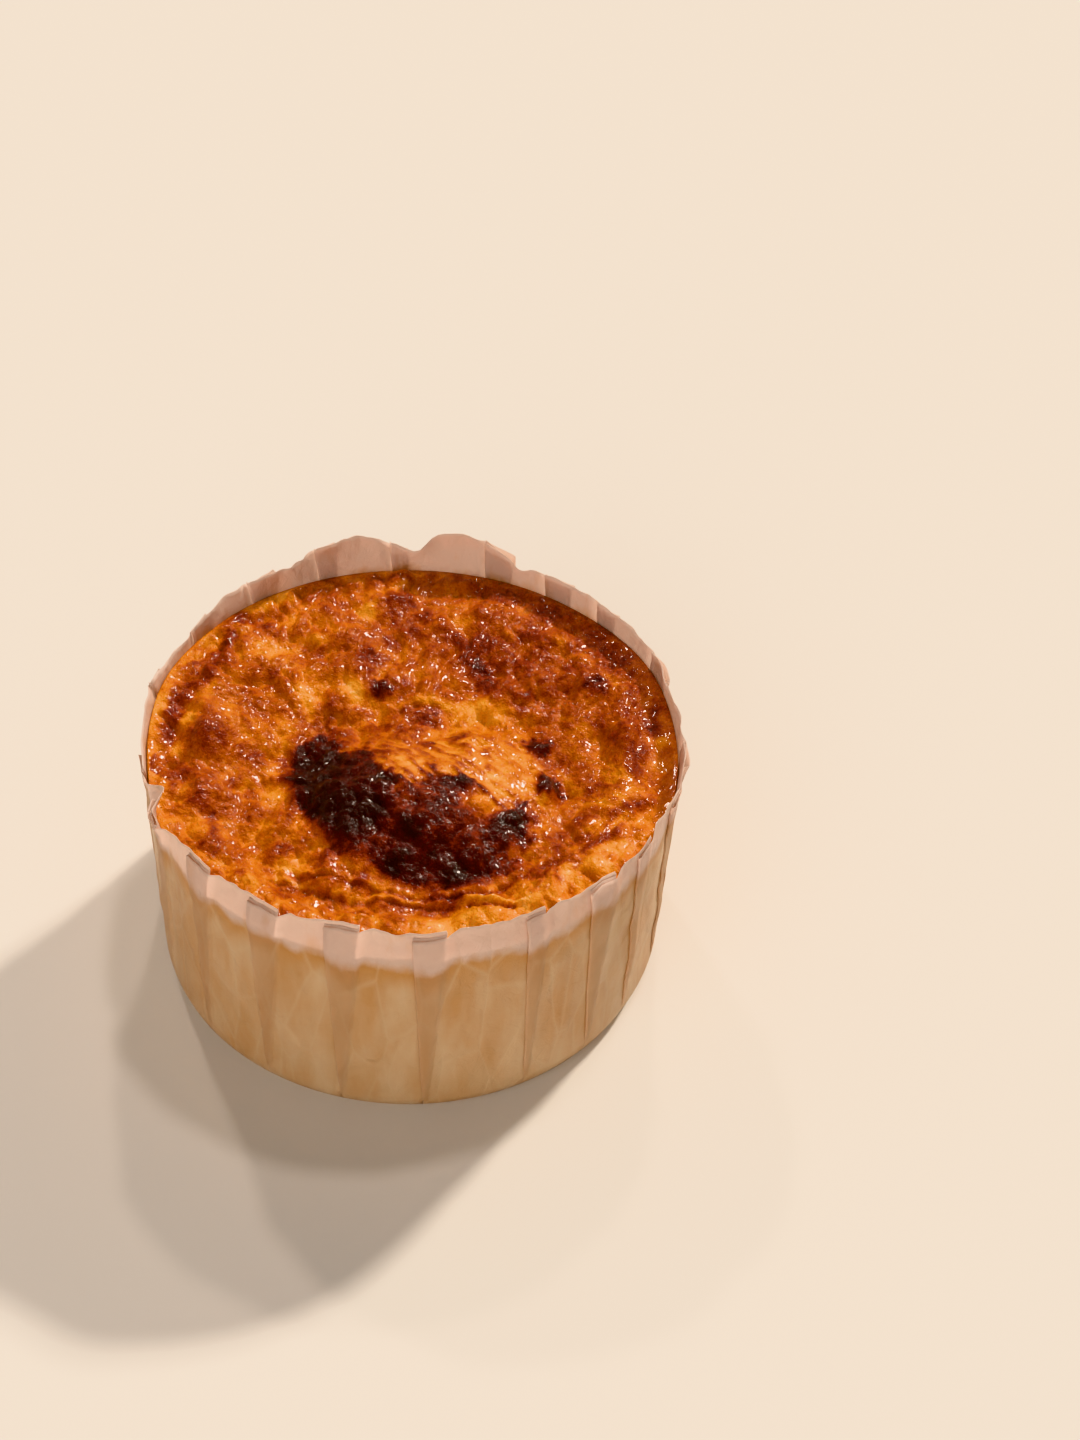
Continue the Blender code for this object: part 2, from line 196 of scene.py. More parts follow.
# dark and pale places: px, py, radius in mm, how much browner or paler, height of the knob in mm
marks = (
    (371, 656, 3.2, 0.58, 0.7),
    (388, 640, 2.2, 0.40, 0.4),
    (380, 685, 2.6, 0.85, 0.6),
    (402, 600, 3.6, 0.50, 0.3),
    (410, 630, 2.6, 0.34, 0.3),
    (424, 618, 2.8, 0.32, 0.2),
    (263, 628, 1.5, 0.40, 0.2),
    (271, 675, 1.8, 0.30, 0.2),
    (206, 732, 3.8, 0.30, 0.5),
    (251, 753, 2.8, 0.34, 0.4),
    (249, 793, 1.5, 0.30, 0.3),
    (339, 704, 3.0, 0.08, 0.1),
    (325, 716, 2.6, 0.08, 0.1),
    (320, 650, 2.4, 0.18, 0.1),
    (459, 579, 1.8, 0.42, 0.1),
    (478, 588, 3.2, 0.22, 0.0),
    (551, 616, 2.6, 0.38, 0.2),
    (470, 650, 3.4, 0.44, 0.5),
    (490, 643, 3.0, 0.40, 0.4),
    (482, 668, 2.6, 0.75, 0.7),
    (488, 687, 2.2, 0.50, 0.5),
    (522, 663, 2.8, 0.26, 0.4),
    (531, 634, 2.8, 0.24, 0.4),
    (596, 681, 2.5, 0.75, 0.4),
    (569, 671, 1.6, 0.30, 0.2),
    (528, 696, 1.8, 0.34, 0.2),
    (520, 704, 1.6, 0.28, 0.1),
    (537, 749, 3.2, 1.0, 2.2),
    (550, 791, 3.2, 1.0, 2.2),
    (655, 712, 1.5, 0.46, 0.2),
    (653, 728, 2.0, 0.46, 0.2),
    (637, 751, 2.8, 0.42, 0.4),
    (635, 768, 2.0, 0.36, 0.2),
    (614, 740, 1.5, 0.26, 0.2),
    (563, 722, 1.8, 0.22, 0.1),
    (598, 724, 1.4, 0.26, 0.1),
    (424, 724, 2.6, 0.52, 0.1),
    (433, 714, 1.6, 0.40, 0.0),
    (457, 741, 2.2, 0.46, 0.1),
    (429, 746, 1.6, 0.46, 0.1),
    (379, 727, 2.0, 0.36, 0.1),
    (402, 732, 2.0, 0.30, 0.0),
    (186, 772, 3.0, 0.34, 0.4),
    (229, 783, 1.8, 0.24, 0.2),
    (198, 799, 2.0, 0.36, -0.3),
    (204, 842, 2.6, 0.26, 0.2),
    (241, 874, 1.6, 0.36, 0.2),
    (278, 852, 2.2, 0.20, 0.1),
    (286, 850, 1.6, 0.20, 0.1),
    (326, 852, 2.0, 0.32, 0.2),
    (359, 881, 1.8, 0.36, 0.3),
    (302, 875, 1.5, 0.26, 0.1),
    (278, 891, 2.6, 0.20, 0.1),
    (273, 917, 3.0, 0.22, 0.0),
    (567, 758, 2.6, 0.20, 0.0),
    (596, 783, 4.2, 0.24, -0.4),
    (580, 765, 2.6, 0.14, -0.2),
    (543, 871, 2.6, 0.22, 0.1),
    (426, 909, 2.2, 0.26, 0.0),
    (451, 904, 2.4, 0.26, 0.0),
    (353, 691, 2.8, -0.34, 0.6),
    (306, 693, 3.0, -0.20, 0.5),
    (275, 651, 4.4, -0.20, 0.1),
    (243, 634, 2.2, -0.30, 0.9),
    (190, 718, 2.6, -0.24, 0.6),
    (178, 753, 1.8, -0.30, 0.7),
    (320, 640, 2.2, -0.22, 0.5),
    (286, 596, 3.6, -0.26, 0.2),
    (369, 606, 2.8, -0.26, 0.5),
    (396, 587, 3.0, -0.18, 0.3),
    (578, 708, 4.6, -0.08, 0.3),
    (594, 740, 4.4, -0.06, 0.1),
    (559, 642, 2.4, -0.22, 0.7),
    (584, 655, 2.6, -0.18, 0.4),
    (510, 634, 1.5, -0.28, 0.6),
    (661, 742, 2.0, -0.22, 0.6),
    (614, 650, 2.2, 0.18, 0.0),
    (273, 797, 3.0, -0.34, 0.4),
    (273, 775, 2.6, -0.26, 0.3),
    (251, 881, 2.0, -0.26, 0.7),
    (300, 866, 4.0, -0.26, 0.2),
    (567, 871, 2.2, -0.32, 0.9),
    (530, 899, 2.2, -0.30, 0.8),
    (594, 826, 2.4, -0.26, 0.4),
    (595, 850, 4.6, -0.20, 0.2),
    (618, 846, 3.6, -0.20, 0.2),
    (559, 891, 4.4, -0.16, 0.2),
    (497, 914, 4.6, -0.20, 0.2),
    (441, 923, 4.6, -0.20, 0.1),
    (476, 918, 3.6, -0.18, 0.1),
    (480, 720, 6.5, -0.12, 0.0),
    (528, 778, 4.0, -0.10, 0.0),
    (436, 708, 3.5, -0.24, 0.3),
    (466, 713, 3.5, -0.16, 0.3),
    (510, 752, 5.5, -0.14, 0.0),
    (462, 722, 5.0, -0.12, 0.0),
)

# lines of browned or folded skin: points, width in mm, how much browner, height in mm; in the front folds the darker
# line along each crease beside a raised ridge is painted shade
lines = (
    (((242, 618), (232, 636), (218, 660), (204, 676), (190, 692), (180, 706), (174, 722), (168, 738)), 1.7, 0.56, 0.5),
    (((312, 581), (340, 582), (372, 583), (406, 581)), 1.4, 0.30, -0.3),
    (((492, 596), (515, 598), (536, 606), (556, 622), (580, 634), (604, 648), (622, 662)), 2.4, 0.26, -0.2),
    (((655, 703), (656, 716), (654, 730)), 0.9, 0.30, -0.2),
    (((457, 638), (468, 650), (478, 664), (486, 680), (490, 692)), 2.2, 0.26, 0.4),
    (((212, 812), (214, 824), (216, 836), (217, 848)), 1.1, 0.42, -0.5),
    (((192, 790), (198, 800), (204, 812)), 1.0, 0.26, -0.5),
    (((292, 869), (324, 873), (345, 877), (380, 886), (420, 893), (452, 893), (482, 888), (514, 872), (555, 858)),
     0.8, -0.12, 0.55),
    (((292, 873), (324, 878), (350, 882), (380, 890), (420, 897), (452, 897), (484, 892), (516, 877), (557, 862)),
     0.6, 0.26, -0.45),
    (((270, 878), (296, 883), (318, 891), (345, 896), (380, 898), (420, 900), (450, 901)), 0.8, -0.12, 0.5),
    (((274, 882), (300, 888), (322, 896), (348, 901), (380, 903), (420, 905), (452, 906)), 0.6, 0.24, -0.4),
    (((514, 878), (543, 874), (573, 858), (596, 841), (616, 829), (641, 808)), 0.9, 0.24, 0.4),
    (((506, 872), (540, 866), (566, 850), (590, 832), (610, 818), (634, 800)), 0.8, 0.18, -0.35),
    (((561, 834), (578, 824), (592, 816)), 1.2, 0.32, 0.3),
    (((580, 850), (598, 840), (616, 830)), 1.0, 0.32, 0.2),
    (((616, 813), (632, 808), (647, 800)), 0.9, 0.36, 0.5),
    (((540, 800), (566, 796), (590, 782), (620, 770)), 0.8, -0.16, 0.4),
    (((560, 768), (566, 778), (574, 786)), 0.5, -0.20, 0.3),
    (((390, 784), (396, 778), (402, 773)), 0.35, -0.5, 0.2),
    (((384, 797), (392, 793)), 0.3, -0.4, 0.1),
    (((400, 706), (430, 703), (452, 708), (476, 710), (494, 722)), 0.9, -0.14, 0.4),
    (((478, 702), (500, 718), (520, 740), (535, 768), (546, 796)), 1.6, -0.10, 0.9),
    (((512, 702), (536, 724), (556, 750), (570, 784)), 2.2, 0.02, -0.6),
    (((392, 716), (420, 708), (452, 716), (480, 732), (500, 756)), 0.6, 0.16, -0.3),
    (((410, 728), (440, 726), (466, 738), (488, 758)), 0.5, 0.14, -0.25),
)

# the flake of skin that stands up in front of the mound, and its shadow side
flake = {
    "edge": ((466, 897), (478, 896), (492, 898), (506, 900), (522, 900)),
    "under": ((470, 902), (486, 903), (500, 905), (514, 904)),
    "height": 0.8,
    "width": 0.7,
}

# outline of the burnt patch, and the spots in it: px, py, radius in mm, how much darker
burn = {
    "outline": (
        (323, 733), (334, 741), (340, 750), (364, 752), (375, 760), (385, 769), (398, 776), (413, 784),
        (426, 779), (444, 775), (461, 774), (474, 782), (486, 796), (494, 812), (512, 806), (528, 802),
        (530, 824), (524, 838), (509, 844), (507, 860), (490, 876), (461, 888), (438, 886), (413, 884),
        (394, 876), (375, 868), (367, 853), (352, 844), (333, 836), (317, 824), (306, 811), (292, 800),
        (289, 779), (292, 760), (302, 742), (313, 734),
    ),
    "spots": (
        (318, 770, 7.0, 0.22), (325, 800, 6.0, 0.20), (350, 812, 5.0, 0.18), (372, 812, 3.6, 0.24),
        (385, 778, 2.6, 0.14), (345, 830, 3.0, 0.14), (462, 784, 2.6, 0.16), (412, 830, 3.0, 0.14),
        (396, 866, 3.4, 0.16), (455, 876, 4.0, 0.16), (512, 822, 4.0, 0.20), (430, 852, 2.4, 0.08),
        # the paler spots near the patch's right end, (476, 798), (496, 796), (516, 789) and (478, 806), are partly
        # unburnt skin and partly painted sheen
        (405, 800, 4.2, -0.12), (430, 790, 3.6, -0.10), (476, 798, 3.8, -0.22), (452, 815, 3.0, -0.06),
        (384, 842, 3.6, -0.08), (488, 852, 3.0, -0.06), (470, 838, 3.0, -0.06), (400, 784, 1.8, -0.22),
        (350, 760, 3.0, -0.03), (430, 835, 4.0, -0.04), (496, 796, 5.0, -0.46), (516, 789, 2.6, -0.30), (478, 806, 6.0, -0.14),
    ),
}


def discPlace(u, v):
    # a point of the square from -1 to 1, moved so that the square becomes the cake's round top, in mm
    side = max(abs(u), abs(v))
    length = max(math.hypot(u, v), 1e-9)
    radius = float(cakeRadius(math.degrees(math.atan2(v, u))))
    slide = crust["slide"] * (1.0 - side**2) * -16.5
    stretch = (1.0 + (side / length - 1.0) * side) * (radius + crust["lip"] * side**30)
    return u * stretch, v * stretch + slide


def blurred(field, times):
    # smooths an array on the grid of cells
    size = crust["cells"] + 1
    field = field.reshape(size, size).copy()
    for _ in range(times):
        padded = np.pad(field, 1, mode="edge")
        field = (padded[:-2, 1:-1] + padded[2:, 1:-1] + padded[1:-1, :-2] + padded[1:-1, 2:]) / 8.0 + field / 2.0
    return field.ravel()


def toLine(points, pixels):
    # distance in mm from each point to a line through pixels of the photograph
    stops = [onCake(*pixel) for pixel in pixels]
    nearest = np.full(len(points), 1e9)
    for start, end in zip(stops, stops[1:]):
        along = end - start
        share = np.clip(((points - start) @ along) / (along @ along), 0.0, 1.0)
        gap = points - start - share[:, None] * along
        nearest = np.minimum(nearest, np.hypot(gap[:, 0], gap[:, 1]))
    return nearest


def inOutline(points, pixels):
    # signed distance in mm to a closed outline, positive inside
    stops = np.array([onCake(*pixel) for pixel in pixels])
    inside = np.zeros(len(points), bool)
    for start, end in zip(stops, np.roll(stops, -1, axis=0)):
        crosses = (start[1] > points[:, 1]) != (end[1] > points[:, 1])
        with np.errstate(divide="ignore", invalid="ignore"):
            at = (end[0] - start[0]) * (points[:, 1] - start[1]) / (end[1] - start[1]) + start[0]
        inside ^= crosses & (points[:, 0] < at)
    distance = toLine(points, (*pixels, pixels[0]))
    return np.where(inside, distance, -distance)


def crustFields(points):
    # height of the crust, how brown it is with painted shade and painted sheen mixed in, and how charred, at each (x,
    # y) in mm
    base = blurred(np.array([topAt(x, y) for x, y in points]), 16)
    for px, py, radius, height in crust["forms"]:
        x, y = onCake(px, py)
        base += height * bell(np.hypot(points[:, 0] - x, points[:, 1] - y), radius)
    distance = np.hypot(points[:, 0], points[:, 1])
    direction = np.degrees(np.arctan2(points[:, 1], points[:, 0]))
    inside = cakeRadius(direction) - distance
    bent = warped(warped(points, 9.0, 1.4, 3.0), 3.0, 0.5, 5.0)

    front = 1.0 - ease(8.0, 40.0, np.abs(apart(direction, -88.0)) - 45.0)
    rightBack = ease(-0.4, 0.6, np.cos(np.radians(direction - 40.0)))
    rightSide = bell(apart(direction, 10.0), 38.0)
    backRim = bell(apart(direction, 92.0), 52.0) * bell(inside - 3.5, 4.0)
    bandEnd = crust["bandWidth"] * (0.42 + 0.55 * rightSide + 0.55 * clouds(points, 9.0, 3, 41.0))
    bandEnd = np.maximum(bandEnd, 0.5)
    onBand = (1.0 - ease(0.6, 1.2, inside / bandEnd)) * (1.0 - front)

    burnDepth = inOutline(warped(points, 5.0, 1.0, 2.0), burn["outline"])
    burnt = ease(-0.9, 1.1, burnDepth + 1.3 * clouds(points, 2.6, 3, 51.0))
    halo = ease(-5.0, 0.0, burnDepth + 1.6 * clouds(points, 3.2, 3, 53.0)) * (1.0 - burnt)

    # the mound's back slope and the valley to its right are stretched smooth
    mound = bell(np.hypot((points[:, 0] - 7.0) / 30.0, (points[:, 1] + 9.0) / 19.0), 0.62)
    smooth = np.clip(mound * 1.4, 0.0, 1.0)
    for px, py, radius, amount in crust["smoothPlaces"]:
        x, y = onCake(px, py)
        smooth = np.maximum(smooth, amount * bell(np.hypot(bent[:, 0] - x, bent[:, 1] - y), radius))
    smooth *= 1.0 - burnt

    strength = (1.0 - (0.1 + 0.65 * rightSide) * onBand) * (1.0 - 0.66 * smooth) * ease(0.0, 1.8, inside)
    lumps = np.zeros(len(points))
    for cell, height, seed in crust["lumps"]:
        layer = puffs(bent / (1.0, crust["longer"]), cell, 1, seed) * 1.7
        layer = np.clip(layer, 0.0, 1.0) ** 0.8
        lumps += height * (layer - layer.mean())
    relief = strength * lumps + 0.8 * clouds(points, 12.0, 2, 31.0) * ease(1.0, 8.0, inside) * (1.0 - burnt)
    relief += backRim * (1.3 + 1.6 * clouds(points, 7.0, 3, 33.0))
    # swollen pale lobes at the front right
    x, y = onCake(*crust["lobes"])
    lobed = bell(np.hypot(points[:, 0] - x, (points[:, 1] - y) * 1.3), 15.0) * ease(0.5, 3.0, inside)
    lobe = puffs(warped(points, 5.0, 1.0, 61.0), 6.0, 2, 63.0)
    relief += 1.5 * lobed * (lobe - lobe.mean())
    crackle = puffs(warped(points, 1.6, 0.4, 15.0), 1.5, 2, 55.0)
    relief += burnt * 0.45 * (crackle - crackle.mean())

    # fine stretch marks on the smooth skin, running down to the right
    slant = math.radians(-38.0)
    along = bent[:, 0] * math.cos(slant) + bent[:, 1] * math.sin(slant)
    across = bent[:, 1] * math.cos(slant) - bent[:, 0] * math.sin(slant)
    streaks = clouds(np.stack([along / 6.0, across], axis=1), 1.3, 2, 71.0)
    relief += 0.55 * streaks * smooth

    brown = 0.565 + 0.12 * clouds(bent, 10.0, 2, 81.0) + 0.14 * clouds(bent, 4.2, 3, 83.0)
    brown += 0.06 * clouds(points, 1.4, 2, 85.0) + 0.05 * lumps / lumps.std()
    brown += (0.4 * streaks + 0.18 * clouds(bent, 2.4, 2, 89.0) - 0.2) * smooth
    brown -= 0.14 * front * (1.0 - ease(4.0, 14.0, inside)) + 0.5 * lobed * (lobe - lobe.mean())
    # the extra darkness of the band towards the back right, centred on direction 40, is painted shade cast by the
    # paper's rim and a wall round it
    band = 0.38 + 0.2 * clouds(points, 5.0, 3, 87.0) + 0.22 * bell(apart(direction, 40.0), 55.0)
    brown = brown * (1.0 - onBand) + onBand * band
    brown += 0.12 * bell(inside - bandEnd, 1.6) * (1.0 - front) * ease(-0.6, 0.5, rough(points, 8.0, 47.0))

    for px, py, radius, amount in crust["tones"]:
        x, y = onCake(px, py)
        brown += amount * bell(np.hypot(bent[:, 0] - x, bent[:, 1] - y), radius)
    frayed = bent + 0.5 * np.stack([rough(points, 1.3, 93.0), rough(points, 1.3, 95.0)], axis=1)
    ragged = 0.45 * clouds(points, 2.2, 3, 99.0)
    deep = np.zeros(len(points))
    for px, py, radius, amount, knob in marks:
        x, y = onCake(px, py)
        away = np.hypot(frayed[:, 0] - x, frayed[:, 1] - y) / radius
        spot = bell(away, 0.75)
        brown += amount * (0.4 * spot + 0.7 * ease(-0.6, 0.6, 0.85 - away + ragged))
        deep = np.maximum(deep, (amount - 0.6) / 0.4 * ease(-0.4, 0.4, 0.85 - away + ragged))
        relief += knob * spot
    broken = 0.65 + 0.7 * rough(points, 5.0, 97.0)
    for pixels, width, amount, height in lines:
        gap = toLine(points * 0.3 + frayed * 0.7, pixels)
        brown += amount * bell(gap, width * 1.1) * np.clip(broken + 0.2, 0.0, 1.0)
        relief += height * bell(gap, width) * np.clip(broken, 0.0, 1.0)
    edge = toLine(points, flake["edge"])
    under = toLine(points, flake["under"])
    relief += flake["height"] * bell(edge, flake["width"]) - 0.8 * bell(under, 0.6)
    # the darker colour along the flake's underside is painted shadow
    brown += 0.35 * bell(under, 0.55) - 0.3 * bell(edge, 0.6)

    # outside the burnt patch nothing is nearly white and browned places stay red-brown
    brown = np.where(brown < 0.24, 0.24 - 0.2 * (1.0 - np.exp((brown - 0.24) / 0.24)), brown)
    brown = np.where(brown > 0.58, 0.58 + 0.19 * (1.0 - np.exp((0.58 - brown) / 0.27)), brown)
    brown += 0.14 * deep
    dark = 0.87 + 0.06 * clouds(bent, 2.4, 3, 91.0)
    for px, py, radius, amount in burn["spots"]:
        x, y = onCake(px, py)
        dark = dark + amount * bell(np.hypot(bent[:, 0] - x, bent[:, 1] - y), radius * 0.8)
    brown += 0.17 * halo
    brown = brown * (1.0 - burnt) + dark * burnt
    height = base + relief * ease(-0.2, 1.6, inside)
    return height, np.clip(brown, 0.0, 1.0), np.clip(burnt, 0.0, 1.0)


def makeCake():
    mesh = bmesh.new()
    browningAndLightLayer = mesh.verts.layers.float.new("brown")
    charred = mesh.verts.layers.float.new("char")
    cells = crust["cells"]
    bmesh.ops.create_grid(mesh, x_segments=cells, y_segments=cells, size=1.0)
    vertices = list(mesh.verts)
    points = np.array([discPlace(vertex.co.x, vertex.co.y) for vertex in vertices])
    height, brown, burnt = crustFields(points)
    for vertex, (x, y), z, how, char in zip(vertices, points, height, brown, burnt):
        vertex.co = (x * mm, y * mm, z * mm)
        vertex[browningAndLightLayer] = how
        vertex[charred] = char
    rim = [edge for edge in mesh.edges if edge.is_boundary]
    rounding = crust["footRounding"]
    levels = [cakeFoot + level for level in (44.0, 30.0, 16.0, rounding, 0.3 * rounding, 0.0)]
    for level in levels:
        made = bmesh.ops.extrude_edge_only(mesh, edges=rim)["geom"]
        rim = [item for item in made if isinstance(item, bmesh.types.BMEdge)]
        for vertex in (item for item in made if isinstance(item, bmesh.types.BMVert)):
            turn = math.atan2(vertex.co.y, vertex.co.x)
            above = level - cakeFoot
            radius = float(cakeRadius(math.degrees(turn))) - crust["narrower"] * (1.0 - above / 52.0)
            if above < rounding:
                radius -= rounding - math.sqrt(rounding**2 - (rounding - above) ** 2)
            vertex.co = (radius * math.cos(turn) * mm, radius * math.sin(turn) * mm, level * mm)
            vertex[browningAndLightLayer] = 0.30 + 0.25 * ease(34.0, 50.0, above)
            vertex[charred] = 0.0
    bmesh.ops.contextual_create(mesh, geom=rim)
    bmesh.ops.recalc_face_normals(mesh, faces=mesh.faces)
    return addPiece("cheesecakeBody", mesh, makeCrustFinish())


def addPiece(name, mesh, finish):
    data = bpy.data.meshes.new(name)
    mesh.to_mesh(data)
    mesh.free()
    data.shade_smooth()
    data.materials.append(finish)
    piece = bpy.data.objects.new(name, data)
    bpy.context.scene.collection.objects.link(piece)
    return piece


# Materials: a wrapped socket takes part in Python sums


class Value:
    def __init__(self, finish, socket):
        self.finish = finish
        self.socket = socket

    def maths(self, operation, *others, flipped=False):
        terms = (*others, self) if flipped else (self, *others)
        return self.finish.add("ShaderNodeMath", {"operation": operation}, dict(enumerate(terms)))

    def __add__(self, other):
        return self.maths("ADD", other)

    def __sub__(self, other):
        return self.maths("SUBTRACT", other)

    def __rsub__(self, other):
        return self.maths("SUBTRACT", other, flipped=True)

    def __mul__(self, other):
        return self.maths("MULTIPLY", other)

    __radd__ = __add__
    __rmul__ = __mul__


class Finish:
    def __init__(self, name):
        self.material = bpy.data.materials.new(name)
        self.material.use_nodes = True
        self.tree = self.material.node_tree
        self.tree.nodes.clear()

    def add(self, kind, settings=None, values=None, output=0):
        node = self.tree.nodes.new(kind)
        for key, setting in (settings or {}).items():
            if key == "stops":
                self.setStops(node.color_ramp, setting)
            else:
                setattr(node, key, setting)
        for key, value in (values or {}).items():
            if isinstance(value, Value):
                self.tree.links.new(value.socket, node.inputs[key])
            else:
                node.inputs[key].default_value = value
        return Value(self, node.outputs[output])

    def setStops(self, ramp, stops):
        while len(ramp.elements) < len(stops):
            ramp.elements.new(0.5)
        for element, (position, colour) in zip(ramp.elements, stops):
            element.position = position
            element.color = (*colour, 1.0)

    def noise(self, place, scale, detail=3.0, roughness=0.55, distortion=0.0):
        values = {
            "Vector": place,
            "Scale": scale,
            "Detail": detail,
            "Roughness": roughness,
            "Distortion": distortion,
        }
        return self.add("ShaderNodeTexNoise", {}, values)

    def blend(self, share, first, second, kind="MIX"):
        settings = {"data_type": "RGBA", "blend_type": kind}
        return self.add("ShaderNodeMix", settings, {0: share, 6: first, 7: second}, output=2)

    def bump(self, height, strength, distance, normal=None):
        values = {"Height": height, "Strength": strength, "Distance": distance}
        if normal is not None:
            values["Normal"] = normal
        return self.add("ShaderNodeBump", {}, values)

    def close(self, surface):
        end = self.tree.nodes.new("ShaderNodeOutputMaterial")
        self.tree.links.new(surface.socket, end.inputs["Surface"])
        return self.material


def plainColour(red, green, blue):
    # a linear colour from the 0 to 255 values that a picture shows
    return tuple((part / 255.0) ** 2.2 for part in (red, green, blue))


crustLooks = {
    "stops": (
        (0.00, (255, 206, 128)),
        (0.16, (247, 168, 78)),
        (0.32, (225, 138, 48)),
        (0.47, (198, 107, 28)),
        (0.60, (170, 78, 15)),
        (0.72, (128, 42, 8)),
        (0.84, (72, 9, 2)),
        (1.00, (40, 3, 1)),
    ),
    "roughness": 0.36,
    "wet": 0.55,
}


def makeCrustFinish():
    finish = Finish("burntCrust")
    place = finish.add("ShaderNodeTexCoord", output="Object")
    # this colour field holds the crust's browning and also painted shade and a painted sheen
    brown = finish.add("ShaderNodeAttribute", {"attribute_name": "brown"}, output="Fac")
    char = finish.add("ShaderNodeAttribute", {"attribute_name": "char"}, output="Fac")
    mottle = finish.noise(place, 620.0, 4.0, 0.6)
    speck = finish.noise(place, 2100.0, 3.0, 0.6)
    shade = brown + (mottle - 0.5) * 0.38 + (speck - 0.5) * 0.2
    stops = [(position, plainColour(*colour)) for position, colour in crustLooks["stops"]]
    colour = finish.add("ShaderNodeValToRGB", {"stops": stops}, {"Fac": shade})
    blister = finish.noise(place, 1150.0, 2.0, 0.5, 0.6)
    grain = finish.noise(place, 3200.0, 1.0, 0.5)
    normal = finish.bump(blister, 1.0, 0.0005)
    normal = finish.bump(grain, 1.0, 0.00012, normal)
    sheen = crustLooks["roughness"] + (mottle - 0.5) * 0.3
    # the wet film is broken into small pieces, so that its glints are too
    broken = finish.noise(place, 1500.0, 2.0, 0.6, 0.8)
    wet = finish.add("ShaderNodeMapRange", {}, {
        "Value": broken, "From Min": 0.40, "From Max": 0.52, "To Min": 0.06, "To Max": crustLooks["wet"],
    }) * (1.0 - char * 0.3)
    values = {
        "Base Color": colour,
        "Roughness": sheen,
        "Normal": normal,
        "Subsurface Weight": 0.10,
        "Subsurface Radius": (1.0, 0.35, 0.12),
        "Subsurface Scale": 0.0025,
        "Specular IOR Level": 0.22,
        "Coat Weight": wet,
        "Coat Roughness": 0.09,
    }
    return finish.close(finish.add("ShaderNodeBsdfPrincipled", {}, values))


# The baking paper

paper = {
    "gap": 0.18,  # between the cake's side and the paper, in mm
    "thickness": 0.11,
    "rows": 46,
    "layerGap": 0.24,
    "open": 0.72,  # share of the wall's height where the folds begin to open
    # each pleat: direction of its outer fold, width at the rim and how far its loops open, in mm
    "pleats": (
        (-176.0, 5.0, 0.6), (-160.5, 8.0, 0.9), (-141.6, 6.7, 0.34), (-124.7, 7.2, 0.34), (-107.5, 7.2, 0.3),
        (-89.5, 6.8, 0.34), (-65.7, 4.2, 0.3), (-50.4, 7.6, 0.36), (-35.5, 4.2, 0.3), (-20.0, 6.0, 0.4),
        (-7.0, 6.2, 0.8), (17.8, 7.4, 0.8), (39.8, 5.0, 0.9), (53.0, 6.4, 1.1), (68.4, 6.0, 1.8),
        (92.0, 3.4, 1.2), (108.0, 4.4, 1.0), (122.3, 6.6, 1.2), (141.0, 5.4, 0.9), (158.7, 6.0, 1.0),
    ),
    # where the free edge waves: direction, width in degrees, how far up and out in mm
    "humps": (
        (103.0, 8.0, 0.5, 1.4), (90.0, 3.2, -2.2, -1.2), (79.0, 7.0, 1.0, 1.6), (66.0, 2.6, -1.2, -0.8),
        (119.0, 3.0, -1.0, -0.8), (131.0, 6.0, 0.3, 1.0), (150.0, 3.0, -0.8, -0.7), (-168.0, 4.0, -0.8, 0.8),
        (34.0, 4.0, 0.5, 0.8), (8.0, 4.0, 0.6, 0.9), (-58.0, 4.0, 0.5, 0.3), (-98.0, 4.0, 0.5, 0.3),
        (175.0, 24.0, 0.3, 1.9), (-162.0, 3.6, 0.8, -3.8), (-153.0, 5.0, 0.2, 1.4), (-20.0, 14.0, 0.3, 0.8),
    ),
}


def humps(direction):
    # how far the free edge stands up and out in this direction, in mm
    up = out = 0.0
    for middle, width, rise, push in paper["humps"]:
        share = math.exp(-((apart(direction, middle) / width) ** 2))
        up += rise * share
        out += push * share
    return up, out


def pleatSection(index, share):
    # (direction in degrees, outward in mm, layer) round the wall, from one pleat's blend to the next one's
    direction, width, opening = paper["pleats"][index]
    after = paper["pleats"][(index + 1) % len(paper["pleats"])][0]
    radius = 57.5
    wide = width * (0.02 + 0.98 * share)
    free = float(ease(paper["open"], 1.0, share))
    small = paper["layerGap"] * float(ease(0.0, 0.12, share))
    loop = small + (opening - small) * free * free
    lean = 0.4 * (width - wide)
    steps = []
    for part in range(5):  # the layer against the cake, under the flap
        steps.append((wide * part / 4.0, 0.0, 0.0))
    for part in (1, 2, 3):  # its fold at the flap's far side
        bend = math.pi * part / 4.0
        steps.append((wide + 0.5 * loop * math.sin(bend), 0.5 * loop * (1.0 - math.cos(bend)), 0.3))
    for part in range(4, -1, -1):  # the hidden layer, back to the free fold
        steps.append((wide * part / 4.0, small + (loop - small) * part / 4.0, 0.6))
    for part in (1, 2, 3):  # the free fold
        bend = math.pi * part / 4.0
        steps.append((-0.5 * loop * math.sin(bend), small + 0.5 * loop * (1.0 - math.cos(bend)), 1.2))
    curl = 0.7 * opening * free**3  # the flap's free corner turns outwards
    for part in range(6):  # the flap
        steps.append((wide * part / 5.0, loop + small + curl * (1.0 - part / 5.0) ** 2, 0.9))
    blendOver = 1.2 + 1.6 * free
    for part, left in ((1, 0.72), (2, 0.28), (3, 0.0)):
        steps.append((wide + blendOver * part / 3.0, (loop + small) * left, 0.8 - 0.26 * part))
    found = [(direction + math.degrees((lean + along) / radius), outward, layer) for along, outward, layer in steps]
    last = found[-1][0]
    nextLean = 0.4 * (paper["pleats"][(index + 1) % len(paper["pleats"])][1]) * (1.0 - share) * 0.98
    room = (after - direction) % 360.0 + direction + math.degrees(nextLean / radius) - last
    for part in range(1, 11):
        found.append((last + room * part / 11.0, 0.0, 0.0))
    return found


